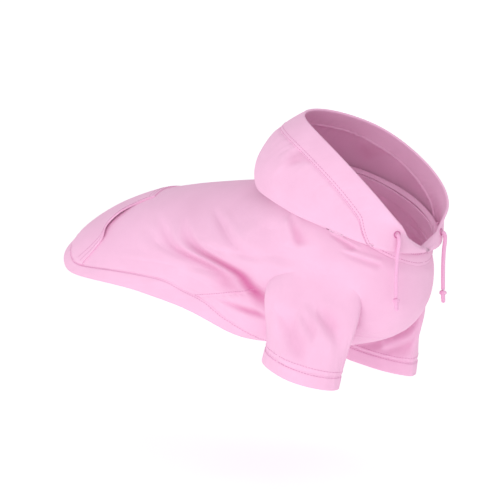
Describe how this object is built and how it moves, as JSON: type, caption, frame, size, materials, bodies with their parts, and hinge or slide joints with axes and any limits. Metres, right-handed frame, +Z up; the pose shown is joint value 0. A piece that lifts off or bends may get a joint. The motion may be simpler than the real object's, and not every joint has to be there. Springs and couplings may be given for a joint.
{
  "type": "dog hoodie",
  "caption": "Pink fleece pullover for a small dog with a folded-back hood, short sleeves, a pocket on the back and free drawcord ends.",
  "frame": {"origin": "the point on the wearer's back, over the withers and just behind the neck seam, that the hoodie rests on when worn", "axes": "+X forwards along the wearer's back to the head, +Y to the wearer's left, +Z up"},
  "size_m": [0.3993, 0.1944, 0.2622],
  "materials": {
    "fleece": "matt brushed fleece",
    "eyelet_thread": "matt thread",
    "cord": "matt knitted cord"
  },
  "bodies": {
    "root": {"body": "fleece", "belly_panel": "fleece", "hem_band": "fleece", "pocket": "fleece", "hood": "fleece", "hood_casing": "fleece", "neck_band": "fleece", "sleeve_right": "fleece", "sleeve_left": "fleece", "cuff_right": "fleece", "cuff_left": "fleece", "eyelet_right": "eyelet_thread", "eyelet_left": "eyelet_thread", "drawcord_right": "cord", "drawcord_left": "cord", "knot_right": "cord", "knot_left": "cord"}
  },
  "joints": []
}
